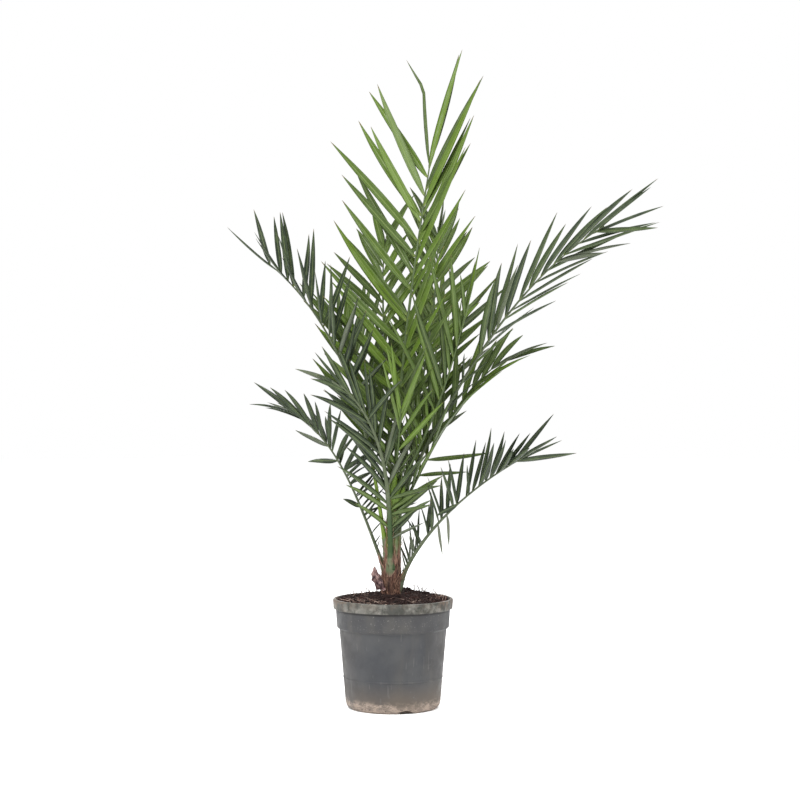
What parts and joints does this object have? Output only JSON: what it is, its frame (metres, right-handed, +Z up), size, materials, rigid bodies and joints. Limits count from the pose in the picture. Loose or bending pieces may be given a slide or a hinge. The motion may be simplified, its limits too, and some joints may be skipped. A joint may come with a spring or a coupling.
{
  "type": "potted date palm",
  "caption": "Young canary island date palm with arching feather fronds on a short fibrous stem, in a round tapered grey nursery pot filled with soil.",
  "frame": {"origin": "centre of the flat underside of the pot", "axes": "+Z up along the stem, -Y towards the viewer of the pictured side, +X to that viewer's right"},
  "size_m": [0.7936, 0.4737, 1.2344],
  "materials": {
    "pot_plastic": "dull grey moulded plastic, dusty, with tan limescale near the foot",
    "soil_earth": "loose dark potting soil with straw fibres",
    "stem_fibre": "dry brown leaf sheaths and fibres",
    "dry_sheath": "dry, ragged",
    "frond_green": "stiff leaflets with a slight waxy sheen"
  },
  "bodies": {
    "root": {"pot": "pot_plastic", "soil": "soil_earth", "stem": "stem_fibre", "dry_leaf_base": "dry_sheath", "central_frond": "frond_green", "left_upper_frond": "frond_green", "front_left_frond": "frond_green", "left_lower_frond": "frond_green", "right_lower_frond": "frond_green", "right_upper_frond": "frond_green", "right_middle_frond": "frond_green", "back_right_frond": "frond_green", "back_left_frond": "frond_green", "inner_right_frond": "frond_green", "spear_frond": "frond_green", "rear_right_frond": "frond_green", "rear_left_frond": "frond_green"}
  },
  "joints": []
}
